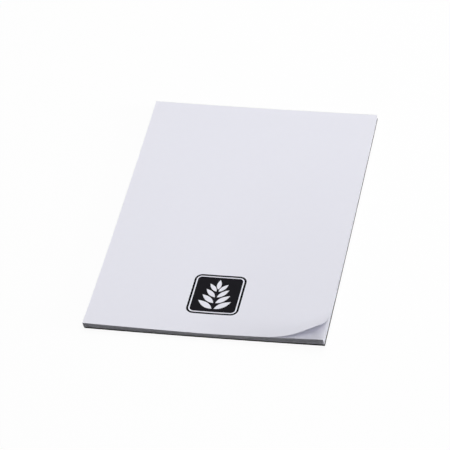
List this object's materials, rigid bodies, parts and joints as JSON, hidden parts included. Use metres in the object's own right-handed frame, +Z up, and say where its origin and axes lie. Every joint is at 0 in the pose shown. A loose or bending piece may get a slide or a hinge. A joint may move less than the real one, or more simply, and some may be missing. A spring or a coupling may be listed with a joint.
{
  "type": "writing pad",
  "caption": "Small writing pad of plain loose sheets glued along the head on a thin grey board, with the corner of the top sheet curling up.",
  "frame": {"origin": "bottom centre of the pad, on the surface that it lies on", "axes": "+X across the pad to the reader's right, +Y along the pad from the free foot to the glued head, +Z up out of the written side"},
  "size_m": [0.148, 0.2102, 0.0152],
  "materials": {
    "board": "grey recycled board, matt",
    "sheets": "cut edges of loose white sheets",
    "paper": "smooth uncoated white writing paper",
    "glue": "dried flexible padding glue, satin"
  },
  "bodies": {
    "root": {"backing_board": "board", "sheet_block": "sheets", "top_sheet": "paper", "head_glue": "glue"}
  },
  "joints": []
}
